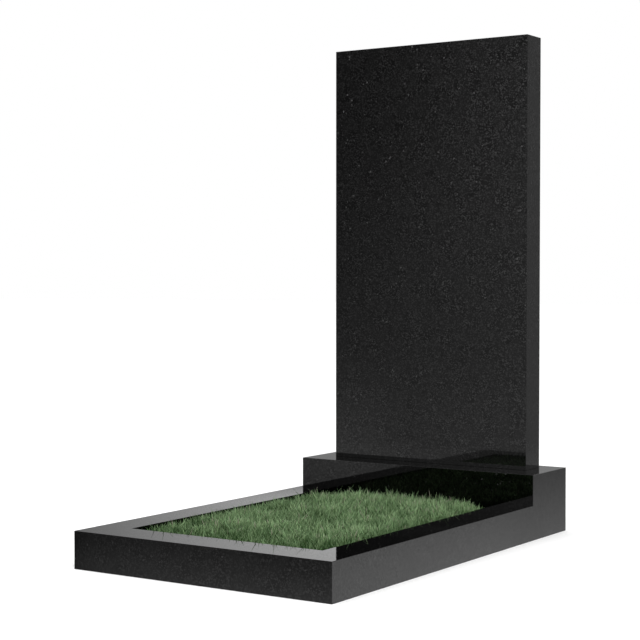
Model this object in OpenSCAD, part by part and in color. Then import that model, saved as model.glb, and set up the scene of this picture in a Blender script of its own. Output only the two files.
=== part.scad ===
// Headstone of polished black granite: an upright slab on a block plinth,
// with a low kerb that closes a bed of turf in front of it.
// Millimetres. +Z is up, -Y is the front, and the origin is the middle of the footprint at ground level.

/* [Headstone] */
// Width of the upright slab
headstone_w = 600; // [400:5:700]
// Height of the upright slab above the plinth
headstone_h = 1150; // [600:10:1800]
// Thickness of the upright slab
headstone_t = 80; // [50:1:110]
// Depth of the plinth's ledge in front of the slab
ledge_d = 80; // [20:1:115]

/* [Plinth] */
// Width of the plinth and of the kerb set
plinth_w = 720; // [610:5:1200]
// Depth of the plinth, from front to back
plinth_d = 200; // [165:5:400]
// Height of the plinth
plinth_h = 170; // [100:5:400]

/* [Kerb] */
// Length of the kerb, from its front face to the plinth
kerb_l = 950; // [400:10:2000]
// Width of each side bar, seen from above
side_bar_w = 90; // [50:1:200]
// Width of the front bar, seen from above
front_bar_w = 100; // [50:1:200]
// Height of the kerb
kerb_h = 90; // [60:1:160]

/* [Turf] */
// Depth of the turf's surface below the top of the kerb
turf_drop = 33; // [0:1:80]

/* [Edges] */
// Width of the 45 degree cut that eases each exposed edge of a stone
arris = 1; // [0.5:0.5:10]

/* [Hidden] */

GRANITE = "#1d1d1f";
TURF = "#47703a";

front_y = -(kerb_l + plinth_d) / 2;
joint_y = front_y + kerb_l;
back_y = joint_y + plinth_d;
side_x = plinth_w / 2;
bed_x = side_x - side_bar_w;
bed_y = front_y + front_bar_w;

// Outline of the rectangle between two opposite corners. Each corner that is 1 in cuts is eased,
// in the order: low low, high low, high high, low high.
function eased_outline(low, high, cuts) = [
    each cuts[0] ? [[low.x, low.y + arris], [low.x + arris, low.y]] : [low],
    each cuts[1] ? [[high.x - arris, low.y], [high.x, low.y + arris]] : [[high.x, low.y]],
    each cuts[2] ? [[high.x, high.y - arris], [high.x - arris, high.y]] : [high],
    each cuts[3] ? [[low.x + arris, high.y], [low.x, high.y - arris]] : [[low.x, high.y]]
];

// Block of stone between two opposite corners. Its edges are eased as its outlines say:
// plan (x, y) eases the upright edges, elevation (x, z) those that run front to back,
// and section (y, z) those that run across.
module stone(low, high, plan, elevation, section) {
    size = high - low;
    intersection() {
        translate([0, 0, low.z])
            linear_extrude(size.z)
                polygon(eased_outline([low.x, low.y], [high.x, high.y], plan));
        translate([0, high.y, 0])
            rotate([90, 0, 0])
                linear_extrude(size.y)
                    polygon(eased_outline([low.x, low.z], [high.x, high.z], elevation));
        translate([low.x, 0, 0])
            rotate([90, 0, 90])
                linear_extrude(size.x)
                    polygon(eased_outline([low.y, low.z], [high.y, high.z], section));
    }
}

// Plan of a side bar of the kerb on the low x side: its front end is mitred from corner to corner.
module side_bar_plan() {
    polygon([
        [-side_x, front_y],
        [-bed_x, bed_y],
        [-bed_x, joint_y],
        [-side_x, joint_y]
    ]);
}

// Plan of the front bar of the kerb: both ends are mitred from corner to corner.
module front_bar_plan() {
    polygon([
        [-side_x, front_y],
        [side_x, front_y],
        [bed_x, bed_y],
        [-bed_x, bed_y]
    ]);
}

// Upright slab, eased all round. It stands on the plinth, set back by the ledge.
module headstone() {
    color(GRANITE)
        stone(
            [-headstone_w / 2, joint_y + ledge_d, plinth_h],
            [headstone_w / 2, joint_y + ledge_d + headstone_t, plinth_h + headstone_h],
            plan = [1, 1, 1, 1],
            elevation = [1, 1, 1, 1],
            section = [1, 1, 1, 1]
        );
}

// Block plinth. Its front corners stay square below the kerb's top, where the side bars meet it flush.
module plinth() {
    color(GRANITE)
        union() {
            stone(
                [-side_x, joint_y, 0],
                [side_x, back_y, kerb_h],
                plan = [0, 0, 1, 1],
                elevation = [0, 0, 0, 0],
                section = [0, 0, 0, 0]
            );
            stone(
                [-side_x, joint_y, kerb_h],
                [side_x, back_y, plinth_h],
                plan = [1, 1, 1, 1],
                elevation = [0, 0, 1, 1],
                section = [0, 0, 1, 1]
            );
        }
}

// Left bar of the kerb, mitred to the front bar and butted against the plinth.
module kerb_left() {
    color(GRANITE)
        intersection() {
            stone(
                [-side_x, front_y, 0],
                [-bed_x, joint_y, kerb_h],
                plan = [1, 0, 0, 0],
                elevation = [0, 0, 1, 1],
                section = [0, 0, 0, 0]
            );
            linear_extrude(kerb_h) side_bar_plan();
        }
}

// Right bar of the kerb, the left bar's mirror image.
module kerb_right() {
    mirror([1, 0, 0]) kerb_left();
}

// Front bar of the kerb, across the foot of the bed.
module kerb_front() {
    color(GRANITE)
        intersection() {
            stone(
                [-side_x, front_y, 0],
                [side_x, bed_y, kerb_h],
                plan = [1, 1, 0, 0],
                elevation = [0, 0, 0, 0],
                section = [0, 0, 1, 1]
            );
            linear_extrude(kerb_h) front_bar_plan();
        }
}

// Bed of soil and sod that fills the kerb, up to the turf's surface.
module turf() {
    color(TURF)
        translate([-bed_x, bed_y, 0])
            cube([2 * bed_x, joint_y - bed_y, kerb_h - turf_drop]);
}

headstone();
plinth();
kerb_left();
kerb_right();
kerb_front();
turf();
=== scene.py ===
"""Looks of the headstone: polished black granite round a bed of living turf.

Everything is in metres, in the frame of the CAD model: +Z is up and -Y is the front.
"""

import math
import random
from contextlib import contextmanager

import bmesh
import bpy
import numpy as np
from mathutils import Matrix, Vector, noise


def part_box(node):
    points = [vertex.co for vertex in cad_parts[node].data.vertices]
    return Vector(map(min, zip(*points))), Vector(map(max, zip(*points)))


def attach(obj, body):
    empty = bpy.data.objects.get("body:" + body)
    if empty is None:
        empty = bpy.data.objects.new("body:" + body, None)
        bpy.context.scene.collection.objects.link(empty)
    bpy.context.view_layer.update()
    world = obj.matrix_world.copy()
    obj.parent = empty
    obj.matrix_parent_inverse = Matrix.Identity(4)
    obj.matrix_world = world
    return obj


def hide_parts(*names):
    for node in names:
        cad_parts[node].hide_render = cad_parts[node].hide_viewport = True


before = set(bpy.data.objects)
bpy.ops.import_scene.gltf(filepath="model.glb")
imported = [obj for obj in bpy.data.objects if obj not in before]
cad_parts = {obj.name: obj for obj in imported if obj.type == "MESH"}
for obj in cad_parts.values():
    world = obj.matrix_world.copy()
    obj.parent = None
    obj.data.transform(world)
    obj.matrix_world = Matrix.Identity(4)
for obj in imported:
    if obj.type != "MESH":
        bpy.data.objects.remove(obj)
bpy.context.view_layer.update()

MM = 0.001
UP = Vector((0, 0, 1))

# ---------------------------------------------------------------- sizes, from the frame

SLAB_LOW, SLAB_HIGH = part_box("headstone")
PLINTH_LOW, PLINTH_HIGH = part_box("plinth")
LEFT_LOW, LEFT_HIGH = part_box("kerb_left")
FRONT_LOW, FRONT_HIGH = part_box("kerb_front")
BED_LOW, BED_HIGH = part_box("turf")
SIDE = PLINTH_HIGH.x
FOOT = FRONT_LOW.y
KERB_TOP = FRONT_HIGH.z
FRONT_BAR = FRONT_HIGH.y - FRONT_LOW.y
SIDE_BAR = LEFT_HIGH.x - LEFT_LOW.x
SOIL = BED_HIGH.z

ARRIS = 0.6 * MM  # radius that rounds each polished edge
ARRIS_STEPS = 3
SAWN_MARGIN = 6 * MM  # polished slurry creeps this far round under a stone


# ---------------------------------------------------------------- shader notation

# A colour mix's sockets go by number, because those for other kinds of value have the same names.
MIX_SHARE, MIX_FIRST, MIX_SECOND = 0, 6, 7
MIX_RESULT = 2


class Term:
    """A socket's value, so that shader maths reads as an ordinary sum."""

    def __init__(self, recipe, socket):
        self.recipe, self.socket = recipe, socket

    def maths(self, operation, *values):
        return self.recipe.add("ShaderNodeMath", dict(enumerate(values)), operation=operation)

    def __add__(self, other):
        return self.maths("ADD", self, other)

    def __radd__(self, other):
        return self.maths("ADD", other, self)

    def __sub__(self, other):
        return self.maths("SUBTRACT", self, other)

    def __rsub__(self, other):
        return self.maths("SUBTRACT", other, self)

    def __mul__(self, other):
        return self.maths("MULTIPLY", self, other)

    def __rmul__(self, other):
        return self.maths("MULTIPLY", other, self)

    def __truediv__(self, other):
        return self.maths("DIVIDE", self, other)

    def __gt__(self, other):
        return self.maths("GREATER_THAN", self, other)

    def floor(self):
        return self.maths("FLOOR", self)


class Recipe:
    """The node tree of a material or of the world."""

    def __init__(self, owner):
        owner.use_nodes = True
        self.tree = owner.node_tree
        self.tree.nodes.clear()

    def feed(self, socket, value):
        if isinstance(value, Term):
            self.tree.links.new(value.socket, socket)
        else:
            socket.default_value = value

    def add(self, kind, values=None, out=0, stops=None, **settings):
        """Adds a node: its settings, then its sockets' values or links. Gives one of its outputs."""
        node = self.tree.nodes.new(kind)
        for name, value in settings.items():
            setattr(node, name, value)
        if stops:
            ramp = node.color_ramp.elements
            while len(ramp) < len(stops):
                ramp.new(1.0)
            for stop, (place, colour) in zip(ramp, stops):
                stop.position, stop.color = place, colour
        for name, value in (values or {}).items():
            self.feed(node.inputs[name], value)
        return Term(self, node.outputs[out]) if node.outputs else None

    def object_place(self, scale=(1, 1, 1)):
        """Where a point is on the piece, in metres, with each axis scaled."""
        place = self.add("ShaderNodeTexCoord", out="Object")
        return self.add("ShaderNodeMapping", {"Vector": place, "Scale": scale})

    def axis(self, vector, name):
        return self.add("ShaderNodeSeparateXYZ", {"Vector": vector}, out=name)

    def step(self, value, low, high, start=0.0, end=1.0):
        """A smooth step from start to end, as value goes from low to high."""
        return self.add(
            "ShaderNodeMapRange",
            {"Value": value, "From Min": low, "From Max": high, "To Min": start, "To Max": end},
            interpolation_type="SMOOTHSTEP",
        )

    def noise(self, place, scale, detail, roughness=0.5):
        return self.add(
            "ShaderNodeTexNoise",
            {"Vector": place, "Scale": scale, "Detail": detail, "Roughness": roughness},
        )

    def cells(self, place, scale):
        """Crystal grains: each cell's own random colour."""
        return self.add("ShaderNodeTexVoronoi", {"Vector": place, "Scale": scale}, out="Color")

    def channel(self, colour, name):
        return self.add("ShaderNodeSeparateColor", {"Color": colour}, out=name)

    def ramp(self, value, *stops):
        """The colour for a value, between stops that are each a place and its colour."""
        return self.add("ShaderNodeValToRGB", {"Fac": value}, stops=stops)

    def blend(self, share, first, second):
        """first where share is 0 and second where it is 1, as colours."""
        return self.add(
            "ShaderNodeMix",
            {MIX_SHARE: share, MIX_FIRST: first, MIX_SECOND: second},
            out=MIX_RESULT,
            data_type="RGBA",
            clamp_factor=True,
        )

    def bump(self, height, depth):
        return self.add("ShaderNodeBump", {"Height": height, "Distance": depth, "Strength": 1.0})

    def surface(self, **values):
        """Ends a material: one Principled shader with these sockets, to the output."""
        names = {name: name.replace("_", " ").title().replace("Ior", "IOR") for name in values}
        shader = self.add(
            "ShaderNodeBsdfPrincipled", {names[name]: value for name, value in values.items()}
        )
        self.add("ShaderNodeOutputMaterial", {"Surface": shader})


# ---------------------------------------------------------------- materials

def grey(value):
    return (value, value, value, 1)


# Sizes of the granite's pattern go by how often it repeats along a metre.
CLOUDS, GRAINS, FLECKS = 24, 380, 260
FLAKE = (1, 4, 1)  # a grain is a quarter as thick, from front to back, as it is wide
DULLEST = 0.26  # the polish that even the dullest grain takes
RARITY = 0.978  # share of the flecks that are not feldspar
FELDSPAR = grey(0.31)
FILM_FULL, FILM_END = 15 * MM, 65 * MM  # heights over the ledge up to which dust lies thick, and at all
STONE_IOR, COAT_IOR = 1.22, 1.6


def granite(name, gloss_roughness, dust, relief):
    """Black gabbro. Its grains are flakes that lie flat in the face of the slab: each takes its own
    share of the polish, and a rare one is pale feldspar. They crowd in clouds, and thin out lower down.
    A film of dust lies on the plinth's top, and rain has splashed it up the foot of the slab."""
    material = bpy.data.materials.new(name)
    r = Recipe(material)
    place = r.object_place()
    flakes = r.object_place(FLAKE)

    cloud = r.step(r.noise(place, CLOUDS, 3, 0.6), 0.42, 0.60)
    grain = r.cells(flakes, GRAINS)
    fleck = r.cells(flakes, FLECKS)
    lottery = r.channel(grain, "Red")
    rare = r.channel(fleck, "Red")
    rare_shade = r.channel(fleck, "Blue")

    height = r.axis(place, "Z")
    richness = 0.44 + 0.44 * height
    contrast = richness * (0.48 + 0.42 * cloud)
    polish = DULLEST + contrast * (r.step(lottery, 0.50, 0.99) - DULLEST)
    coarse = (rare > RARITY) * rare_shade * cloud * richness

    ledge = PLINTH_HIGH.z
    above = r.step(height, ledge - ARRIS, ledge - 0.3 * ARRIS)
    film = above * r.step(height, ledge + FILM_END, ledge + FILM_FULL)
    film = film * (0.6 + 0.8 * r.noise(place, 45, 3))
    ground = r.blend(film, grey(0.0003 + dust), grey(0.0040 + dust))
    colour = r.blend(coarse * 0.16, ground, FELDSPAR)

    buffing = r.noise(place, 60, 2)
    roughness = gloss_roughness + 0.02 * (buffing - 0.5) + 0.03 * coarse
    waves = r.noise(place, 22, 1) + 0.12 * lottery
    r.surface(
        base_color=colour,
        roughness=roughness,
        ior=STONE_IOR,
        coat_weight=polish,
        coat_roughness=gloss_roughness,
        coat_ior=COAT_IOR,
        normal=r.bump(waves, relief),
    )
    return material


def soil():
    """Dark moist earth under the grass."""
    material = bpy.data.materials.new("moist_earth")
    r = Recipe(material)
    place = r.object_place()
    crumb = r.noise(place, 160, 6, 0.7)
    patch = r.noise(place, 14, 3)
    colour = r.ramp(
        crumb * 0.7 + patch * 0.3,
        (0.30, (0.006, 0.005, 0.003, 1)),
        (0.55, (0.030, 0.021, 0.012, 1)),
        (0.75, (0.075, 0.056, 0.032, 1)),
    )
    r.surface(base_color=colour, roughness=0.75 + 0.2 * crumb, normal=r.bump(crumb, 2 * MM))
    return material


BLADE_MAP = "OFBake"  # the blades' UV map: u says which shade a blade has, v runs from root to tip
SHADES = 64

# Colours of a blade near its root, at its middle and at its tip. The dark root is painted shade, for the
# shade low in the grass.
BLADE_PLACES = 0.1, 0.55, 1.0
COOL_GREEN = (0.008, 0.017, 0.006, 1), (0.092, 0.188, 0.064, 1), (0.375, 0.590, 0.305, 1)
WARM_GREEN = (0.012, 0.020, 0.007, 1), (0.124, 0.205, 0.072, 1), (0.465, 0.625, 0.350, 1)
STRAW = (0.020, 0.018, 0.008, 1), (0.150, 0.135, 0.080, 1), (0.480, 0.450, 0.380, 1)
DRY = 0.965  # share of the shades that are still green
DEEP_SHADE = (0.014, 0.040, 0.009, 1)


def blade_green():
    """Grass blades: each has one of the shades, which mix random tone with painted shade, and each is
    darkened at the root with painted shade, towards a pale tip. A few are dry.
    """
    material = bpy.data.materials.new("grass_blade")
    r = Recipe(material)
    along = r.add("ShaderNodeUVMap", uv_map=BLADE_MAP)
    column = (r.axis(along, "X") * SHADES).floor()
    height = r.axis(along, "Y")
    painted_shade_and_tone_share = column / SHADES
    warmth = r.add("ShaderNodeTexWhiteNoise", {"W": column + 0.5}, out="Value", noise_dimensions="1D")

    cool, warm, straw = (
        r.ramp(height, *zip(BLADE_PLACES, colours)) for colours in (COOL_GREEN, WARM_GREEN, STRAW)
    )
    green = r.blend(warmth, cool, warm)
    green = r.blend(warmth > DRY, green, straw)
    # Painted shade: the share darkens the blade towards a deep shaded green.
    shaded = r.blend(painted_shade_and_tone_share, green, DEEP_SHADE)
    r.surface(base_color=shaded, roughness=0.6 + 0.15 * painted_shade_and_tone_share, ior=1.15)
    return material


POLISHED = granite("polished_granite", gloss_roughness=0.03, dust=0.0, relief=0.01 * MM)
HONED = granite("honed_granite", gloss_roughness=0.20, dust=0.004, relief=0.02 * MM)
SAWN = granite("sawn_granite", gloss_roughness=0.60, dust=0.030, relief=0.20 * MM)
FINISHES = [POLISHED, HONED, SAWN]
EARTH = soil()
GRASS = blade_green()


# ---------------------------------------------------------------- modelling helpers

SLACK = 0.1 * MM
FACING = 0.99  # a normal's share along an axis from which its face counts as facing that way


@contextmanager
def editing(piece, mode):
    """Edit mode on one piece, with nothing selected."""
    bpy.ops.object.select_all(action="DESELECT")
    piece.select_set(True)
    bpy.context.view_layer.objects.active = piece
    bpy.ops.object.mode_set(mode="EDIT")
    bpy.ops.mesh.select_mode(type=mode)
    bpy.ops.mesh.select_all(action="DESELECT")
    yield
    bpy.ops.object.mode_set(mode="OBJECT")


def select_edges(piece, wanted):
    """Selects the edges for which wanted(middle, direction) is true."""
    mesh = bmesh.from_edit_mesh(piece.data)
    for edge in mesh.edges:
        a, b = edge.verts[0].co, edge.verts[1].co
        edge.select_set(wanted((a + b) / 2, (b - a).normalized()))
    bmesh.update_edit_mesh(piece.data)


def select_faces(piece, wanted):
    """Selects the faces for which wanted(centre, normal) is true."""
    mesh = bmesh.from_edit_mesh(piece.data)
    mesh.normal_update()
    for face in mesh.faces:
        face.select_set(wanted(face.calc_center_median(), face.normal))
    bmesh.update_edit_mesh(piece.data)


def near(a, b):
    return abs(a - b) < SLACK


def block(name, low, high):
    """A rough block between two corners, ready to be cut."""
    bpy.ops.object.select_all(action="DESELECT")
    bpy.ops.mesh.primitive_cube_add(size=1, location=(low + high) / 2, scale=high - low)
    bpy.ops.object.transform_apply(location=True, rotation=True, scale=True)
    piece = bpy.context.object
    piece.name = piece.data.name = name
    return piece


def ease(piece, wanted):
    """Rounds the chosen edges to a polished arris."""
    with editing(piece, "EDGE"):
        select_edges(piece, wanted)
        bpy.ops.mesh.bevel(offset=ARRIS, segments=ARRIS_STEPS, affect="EDGES", clamp_overlap=True)


def saw_underside(piece):
    """Marks off the sawn underside inside a narrow margin where slurry from the polishing reached."""
    with editing(piece, "FACE"):
        select_faces(piece, lambda centre, normal: normal.z < -FACING)
        bpy.ops.mesh.inset(thickness=SAWN_MARGIN, depth=0)


def finish_faces(piece, honed):
    """Gives each face its finish: polished, honed where honed(normal) is true, and sawn below."""
    for material in FINISHES:
        piece.data.materials.append(material)
    for face in piece.data.polygons:
        if face.normal.z < -FACING:
            face.material_index = FINISHES.index(SAWN)
        elif honed(face.normal):
            face.material_index = FINISHES.index(HONED)


def hand_over(piece, slot, *nodes):
    """Fixes a finished piece to the frame, in the place of its CAD nodes."""
    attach(piece, "root")
    if nodes:
        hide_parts(*nodes)


# ---------------------------------------------------------------- stones

def upright_slab():
    piece = block("headstone_slab", SLAB_LOW, SLAB_HIGH)
    ease(piece, lambda middle, along: True)
    saw_underside(piece)
    finish_faces(piece, lambda normal: normal.y > FACING)
    hand_over(piece, "granite", "headstone")


def block_plinth():
    """The plinth's lower front corners stay square, where the kerb meets it flush."""
    piece = block("plinth_block", PLINTH_LOW, PLINTH_HIGH)
    with editing(piece, "FACE"):
        bpy.ops.mesh.select_all(action="SELECT")
        bpy.ops.mesh.bisect(plane_co=(0, 0, KERB_TOP), plane_no=UP)
    front = PLINTH_LOW.y
    back = PLINTH_HIGH.y
    top = PLINTH_HIGH.z

    def exposed(middle, along):
        upright = near(abs(along.z), 1)
        corner = near(abs(middle.x), SIDE)
        if near(middle.z, top):
            return True
        if upright and corner:
            return near(middle.y, back) or (near(middle.y, front) and middle.z > KERB_TOP)
        return False

    ease(piece, exposed)
    saw_underside(piece)
    finish_faces(piece, lambda normal: normal.y > FACING)
    hand_over(piece, "granite", "plinth")


def mitre(piece, corner, outward):
    """Cuts a bar's end off on the upright plane that passes through corner and faces outward."""
    with editing(piece, "FACE"):
        bpy.ops.mesh.select_all(action="SELECT")
        bpy.ops.mesh.bisect(plane_co=corner, plane_no=outward, use_fill=True, clear_outer=True)


def kerb_bar(name, node, low, high, mitres, outer, inner):
    """A kerb bar, eased along its outer and inner top edges, then mitred."""
    piece = block(name, low, high)

    def exposed(middle, along):
        lengthways = abs(along.z) < 0.1
        return lengthways and near(middle.z, high.z) and (outer(middle) or inner(middle))

    ease(piece, exposed)
    for corner, outward in mitres:
        mitre(piece, corner, outward)
    saw_underside(piece)
    finish_faces(piece, lambda normal: False)
    hand_over(piece, "granite", node)


def kerb():
    """Two side bars butted against the plinth, and a front bar mitred to them from corner to corner."""
    for name, node, side in (("left_kerb_bar", "kerb_left", -1), ("right_kerb_bar", "kerb_right", 1)):
        outer_x, inner_x = side * SIDE, side * (SIDE - SIDE_BAR)
        low = Vector((min(outer_x, inner_x), FOOT, 0))
        high = Vector((max(outer_x, inner_x), PLINTH_LOW.y, KERB_TOP))
        kerb_bar(
            name, node, low, high,
            [(Vector((outer_x, FOOT, 0)), Vector((-side * FRONT_BAR, -SIDE_BAR, 0)).normalized())],
            lambda middle, x=outer_x: near(middle.x, x),
            lambda middle, x=inner_x: near(middle.x, x),
        )
    low, high = Vector((-SIDE, FOOT, 0)), Vector((SIDE, FOOT + FRONT_BAR, KERB_TOP))
    kerb_bar(
        "front_kerb_bar", "kerb_front", low, high,
        [
            (Vector((side * SIDE, FOOT, 0)), Vector((side * FRONT_BAR, SIDE_BAR, 0)).normalized())
            for side in (-1, 1)
        ],
        lambda middle: near(middle.y, FOOT),
        lambda middle: near(middle.y, FOOT + FRONT_BAR),
    )


# ---------------------------------------------------------------- turf

BED_CUTS = 60
LUMPS = ("clods", 0.030, 5 * MM), ("crumbs", 0.011, 2.5 * MM)  # each with its size and its depth

BLADE_LENGTH = 40 * MM
FLATNESS = 0.35  # a blade's thickness as a share of its width
# How much wider or narrower each ring of a blade is than the last: low down, near the tip and at it.
SWELL, WANE, POINT = 1.15, 0.80, 0.12
SHORT_KINDS, TALL_KINDS = 6, 12
GRASS_STRIPS = 6
# Each layer's spacing of tufts and blades in a tuft, then its height, spread of heights and width as
# shares of the modelled blade's.
UNDERGROWTH = 6 * MM, (1, 2), 0.62, 0.15, 0.85
OVERGROWTH = 8 * MM, (2, 6), 0.92, 0.17, 0.80
ROOT_DEPTH = 3 * MM
ROOT_SCATTER = 2.5 * MM
ROOT_MARGIN = 2 * MM
SHORTEST = 0.2
STONE_GAP = 0.6 * MM


def earth_bed():
    """Crumbly soil that fills the kerb, lumpy everywhere but along its edge by the stone."""
    piece = block("earth_bed", BED_LOW, BED_HIGH)
    with editing(piece, "FACE"):
        select_faces(piece, lambda centre, normal: normal.z > FACING)
        bpy.ops.mesh.subdivide(number_cuts=BED_CUTS)
    top = piece.vertex_groups.new(name="surface")
    inside = [
        v.index for v in piece.data.vertices
        if near(v.co.z, SOIL)
        and abs(v.co.x) < BED_HIGH.x - MM
        and BED_LOW.y + MM < v.co.y < BED_HIGH.y - MM
    ]
    top.add(inside, 1.0, "REPLACE")
    for name, size, depth in LUMPS:
        texture = bpy.data.textures.new(name, "CLOUDS")
        texture.noise_scale = size
        lumps = piece.modifiers.new(name, "DISPLACE")
        lumps.texture, lumps.texture_coords = texture, "LOCAL"
        lumps.direction, lumps.vertex_group = "Z", "surface"
        lumps.strength, lumps.mid_level = depth, 0.75
        bpy.ops.object.modifier_apply(modifier=name)
    piece.data.materials.append(EARTH)
    hand_over(piece, "turf", "turf")


def grass_blade(name, width, lean, curl, rings):
    """One blade, root at the origin: a thin keeled strip that narrows to a point and bends over."""
    bpy.ops.object.select_all(action="DESELECT")
    bpy.ops.mesh.primitive_circle_add(vertices=3, radius=width / 2, fill_type="NGON")
    blade = bpy.context.object
    blade.name = blade.data.name = name
    with editing(blade, "VERT"):
        bpy.ops.mesh.select_all(action="SELECT")
        bpy.ops.transform.resize(value=(1.0, FLATNESS, 1.0))
        for ring in range(1, rings + 1):
            share = ring / rings
            rise = BLADE_LENGTH / rings
            push = lean * BLADE_LENGTH * (2 * share - 1 / rings) / rings
            droop = curl * rise * share ** 2
            bpy.ops.mesh.extrude_region_move(TRANSFORM_OT_translate={"value": (0, push, rise - droop)})
            taper = SWELL if ring < rings - 1 else WANE if ring < rings else POINT
            bpy.ops.transform.resize(value=(taper, taper, 1.0))
        bpy.ops.mesh.merge(type="CENTER")
        bpy.ops.mesh.select_all(action="SELECT")
        bpy.ops.mesh.normals_make_consistent(inside=False)
    return blade


def blade_arrays(blade):
    """A blade's points, its triangles and each point's share of the height, as arrays."""
    mesh = blade.data
    mesh.calc_loop_triangles()
    points = np.array([v.co for v in mesh.vertices])
    faces = np.array([t.vertices for t in mesh.loop_triangles])
    heights = points[:, 2] / points[:, 2].max()
    bpy.data.objects.remove(blade)
    return points, faces, heights


def grass():
    """A short undergrowth and taller blades that stand out of it, gathered in strips across the bed."""
    dice = random.Random(11)
    kinds = [
        blade_arrays(grass_blade(
            "blade_%d" % kind,
            width=dice.uniform(3.2, 4.6) * MM,
            lean=dice.uniform(0.05, 0.70),
            curl=dice.uniform(0.0, 0.35),
            rings=2 if kind < SHORT_KINDS else 3,
        ))
        for kind in range(SHORT_KINDS + TALL_KINDS)
    ]
    gathered = [[] for _ in range(GRASS_STRIPS)]
    for (pitch, count, tall, spread, wide), sorts in (
        (UNDERGROWTH, kinds[:SHORT_KINDS]),
        (OVERGROWTH, kinds[SHORT_KINDS:]),
    ):
        across = int((BED_HIGH.x - BED_LOW.x) / pitch)
        deep = int((BED_HIGH.y - BED_LOW.y) / pitch)
        for row in range(deep):
            for column in range(across):
                centre = Vector((
                    BED_LOW.x + (column + dice.uniform(0, 1)) * (BED_HIGH.x - BED_LOW.x) / across,
                    BED_LOW.y + (row + dice.uniform(0, 1)) * (BED_HIGH.y - BED_LOW.y) / deep,
                    SOIL - ROOT_DEPTH,
                ))
                strip = gathered[row * GRASS_STRIPS // deep]
                tuft(dice, sorts, centre, dice.randint(*count), tall, spread, wide, strip)
    for number, strip in enumerate(gathered, 1):
        grass_patch("grass_patch_%d" % number, strip)


def step(value, low, high):
    """A smooth step from 0 to 1, as value goes from low to high."""
    share = min(1.0, max(0.0, (value - low) / (high - low)))
    return share * share * (3 - 2 * share)


def vigour_at(place):
    """How tall grass grows here, as a share: less by the kerb, least in the corners by the plinth."""
    side = BED_HIGH.x - abs(place.x)
    front = place.y - BED_LOW.y
    back = BED_HIGH.y - place.y
    corner = math.hypot(side, back)
    vigour = 0.88 + 0.12 * step(side, 3 * MM, 40 * MM)
    vigour *= 0.40 + 0.60 * step(corner, 20 * MM, 120 * MM)
    vigour *= 0.65 + 0.35 * step(math.hypot(side, front), 5 * MM, 70 * MM)
    vigour *= 0.94 + 0.06 * step(front, 50 * MM, 300 * MM)
    return vigour * (1 + 0.12 * noise.noise(place * 14))


def light_at(place):
    """How light the grass is here, as a share: in patches, darkened beside the kerb's bars with painted
    shade, and lighter by the plinth.
    """
    right = BED_HIGH.x - place.x
    left = place.x - BED_LOW.x
    front = place.y - BED_LOW.y
    patches = 0.6 + 0.40 * noise.noise(place * 11 + Vector((5, 3, 1))) + 0.95 * noise.noise(place * 33)
    # Painted shade beside the side and front bars; the grass is made lighter towards the plinth.
    shade = 0.30 * (1 - step(right, 0, 120 * MM)) + 0.25 * (1 - step(left, 0, 100 * MM))
    shade += 0.50 * (1 - step(front, 20 * MM, 170 * MM)) - 0.22 * step(front, 620 * MM, 820 * MM)
    return min(1.0, max(0.0, patches - shade))


def tuft(dice, kinds, centre, count, tall, spread, wide, blades):
    """Adds a tuft's blades, which fan out a little. A few are thin strays that stand above the rest."""
    # How dark the tuft is: random patches plus painted shade beside the kerb's bars.
    patches_and_painted_shade = 1 - light_at(centre)
    for _ in range(count):
        points, faces, heights = dice.choice(kinds)
        root = centre + Vector((dice.gauss(0, ROOT_SCATTER), dice.gauss(0, ROOT_SCATTER), 0))
        root.x = min(max(root.x, BED_LOW.x + ROOT_MARGIN), BED_HIGH.x - ROOT_MARGIN)
        root.y = min(max(root.y, BED_LOW.y + ROOT_MARGIN), BED_HIGH.y - ROOT_MARGIN)
        turn = Matrix.Rotation(dice.uniform(0, math.tau), 3, "Z")
        rise = dice.gauss(tall, spread)
        girth = wide * dice.uniform(0.75, 1.15)
        edge = 1 - step(root.y - BED_LOW.y, 0, 25 * MM)
        if dice.random() < 0.05 + 0.06 * edge:
            rise, girth = rise * dice.uniform(1.08, 1.22 + 0.35 * edge), girth * 0.55
        rise = max(SHORTEST, rise) * vigour_at(root)
        placed = points * (girth, rise * dice.uniform(0.7, 1.3), rise)
        placed = placed @ np.array(turn).T + np.array(root)
        shade = int(min(0.999, 0.60 * patches_and_painted_shade + 0.56 * dice.random()) * SHADES)
        # Short blades stop short of the pale tip colour: painted shade low in the grass.
        blades.append((placed, faces, heights * min(1.0, rise), shade))


def grass_patch(name, blades):
    """Joins blades into one mesh, each laid in its shade's column of the blade map."""
    points, faces, us, vs = [], [], [], []
    start = 0
    for placed, triangles, heights, shade in blades:
        points.append(placed)
        faces.append(triangles + start)
        corner = triangles.ravel()
        side = np.tile([0.2, 0.8, 0.5], len(triangles))
        us.append((shade + side) / SHADES)
        vs.append(0.02 + 0.96 * heights[corner])
        start += len(placed)
    points = np.concatenate(points)
    keep_off_stone(points)
    faces = np.concatenate(faces)
    mesh = bpy.data.meshes.new(name)
    mesh.from_pydata(points.tolist(), [], faces.tolist())
    uv = mesh.uv_layers.new(name=BLADE_MAP)
    uv.data.foreach_set("uv", np.stack([np.concatenate(us), np.concatenate(vs)], 1).ravel())
    mesh.polygons.foreach_set("use_smooth", np.ones(len(faces), bool))
    mesh.materials.append(GRASS)
    piece = bpy.data.objects.new(name, mesh)
    bpy.context.scene.collection.objects.link(piece)
    hand_over(piece, "turf")


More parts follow.
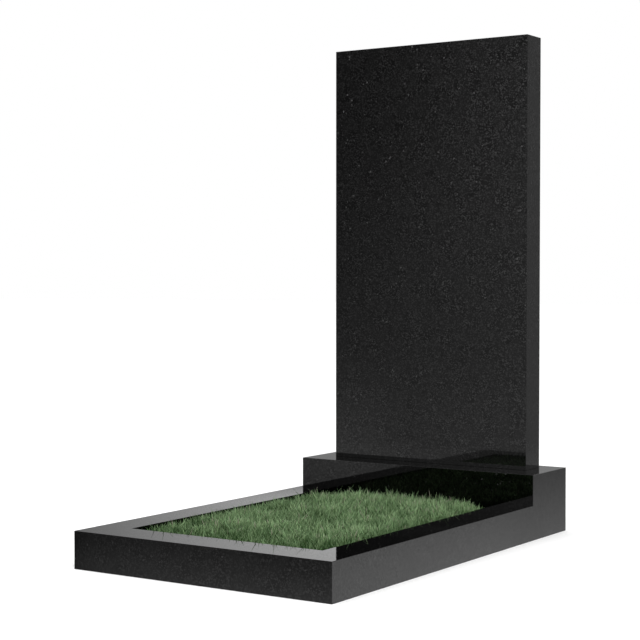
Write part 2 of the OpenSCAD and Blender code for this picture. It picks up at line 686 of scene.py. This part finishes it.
def keep_off_stone(points):
    """Holds every point that is below the kerb's top, or by the plinth, clear of the stone.

    The faces between the points are left as they are, so a few still cut the kerb's inner top edge.
    """
    low = points[:, 2] < KERB_TOP + 1.5 * MM
    # The gap to the side bars is uneven, so that no triangle closes up to a line.
    uneven = STONE_GAP + 0.1 * MM * (np.arange(len(points)) % 4)[low]
    points[low, 0] = np.clip(points[low, 0], BED_LOW.x + uneven, BED_HIGH.x - uneven)
    points[low, 1] = np.clip(points[low, 1], BED_LOW.y + STONE_GAP, BED_HIGH.y - STONE_GAP)
    points[:, 1] = np.minimum(points[:, 1], BED_HIGH.y - STONE_GAP)


# ---------------------------------------------------------------- studio

FLOOR_SIZE = 60
FLOOR_DROP = 0.2 * MM
EYE = (2.1555, -3.3224, 0.6880)
LOOK_DOWN, LOOK_LEFT = 0.0286, 0.5865  # radians, from level and from square on
LENS, SENSOR = 88.93, 36.0  # focal length and width, in millimetres


def studio_floor():
    bpy.ops.object.select_all(action="DESELECT")
    bpy.ops.mesh.primitive_plane_add(size=FLOOR_SIZE, location=(0, 0, -FLOOR_DROP))
    floor = bpy.context.object
    floor.name = "studio_floor"
    material = bpy.data.materials.new("pale_floor")
    Recipe(material).surface(base_color=grey(0.99), roughness=0.9, ior=1.3)
    floor.data.materials.append(material)
    floor.visible_glossy = False


def studio_air():
    """Pale soft surroundings, white to the eye. The polish mirrors a dim band round the horizon,
    a bright floor and ceiling, a window behind on the left and a dark wall on the far left."""
    world = bpy.data.worlds.new("studio_air")
    bpy.context.scene.world = world
    r = Recipe(world)
    toward = r.add("ShaderNodeTexCoord", out="Generated")
    right, back, rise = (r.axis(toward, name) for name in "XYZ")
    left, front, fall = (-1 * value for value in (right, back, rise))

    behind = r.step(back, -0.3, 0.3)
    horizon = 0.33 - 0.03 * behind + 0.035 * r.step(right, -0.3, 0.3) + 0.54 * r.step(front, 0.82, 0.93)
    dusk = (1 - r.step(front, 0.83, 0.895)) * (1 - behind)
    tilt = 1 + dusk * (r.step(fall, -0.10, 0.07, 0.80, 1.30) - 1)
    window = r.step(rise, 0.127, 0.143) * r.step(left, 0.30, 0.45) * behind
    near_floor = r.step(fall, 0.100, 0.200) * r.step(right, 0.430, 0.455, 0.8, 1.0) * behind
    strip = r.step(fall, 0.035, 0.115) - r.step(fall, 0.105, 0.165)
    strip = strip * (0.45 - 0.27 * r.step(front, 0.836, 0.862))
    near_foot = 0.45 + 0.10 * r.step(left, 0.566, 0.552)
    front_floor = (strip + near_foot * r.step(fall + 0.17 * left, 0.269, 0.301)) * (1 - behind)
    ceiling = r.step(rise, 0.17, 0.36)
    under = r.step(fall, 0.20, 0.40) * (1 - behind)
    glow = horizon * tilt + 0.49 * window + 0.885 * near_floor + front_floor
    wall = 0.68 * r.step(left, 0.58, 0.75) + 0.30 * r.step(left, 0.655, 0.672)
    shade = 1 - 0.84 * r.step(left, 0.50, 0.74) * behind - wall * (1 - behind)
    lit = 1.18 * glow * shade
    open_sky = ceiling.maths("MAXIMUM", ceiling, under)
    lit = lit + (1.15 - lit) * open_sky
    seen = r.add("ShaderNodeLightPath", out="Is Camera Ray")
    strength = lit + (1.0 - lit) * seen
    sky = r.add("ShaderNodeBackground", {"Color": grey(1), "Strength": strength})
    r.add("ShaderNodeOutputWorld", {"Surface": sky})


def soft_light(name, spot, aim, size, power):
    lamp = bpy.data.lights.new(name, "AREA")
    lamp.shape, lamp.size, lamp.energy = "DISK", size, power
    light = bpy.data.objects.new(name, lamp)
    bpy.context.scene.collection.objects.link(light)
    light.location = spot
    light.rotation_euler = (Vector(aim) - Vector(spot)).to_track_quat("-Z", "Y").to_euler()
    light.visible_glossy = False


def camera():
    """At a mourner's waist height, off the front right corner, nearly level."""
    lens = bpy.data.cameras.new("viewpoint")
    lens.sensor_width, lens.lens = SENSOR, LENS
    eye = bpy.data.objects.new("viewpoint", lens)
    bpy.context.scene.collection.objects.link(eye)
    eye.location = EYE
    eye.rotation_euler = (math.pi / 2 - LOOK_DOWN, 0, LOOK_LEFT)
    bpy.context.scene.camera = eye


upright_slab()
block_plinth()
kerb()
earth_bed()
grass()

studio_floor()
studio_air()
soft_light("key_light", spot=(2.6, -2.2, 3.4), aim=(0, -0.1, 0.2), size=2.0, power=90)
soft_light("fill_light", spot=(-3.0, -2.0, 3.0), aim=(0, 0, 0.3), size=2.5, power=45)
camera()
bpy.context.scene.view_settings.view_transform = "Standard"
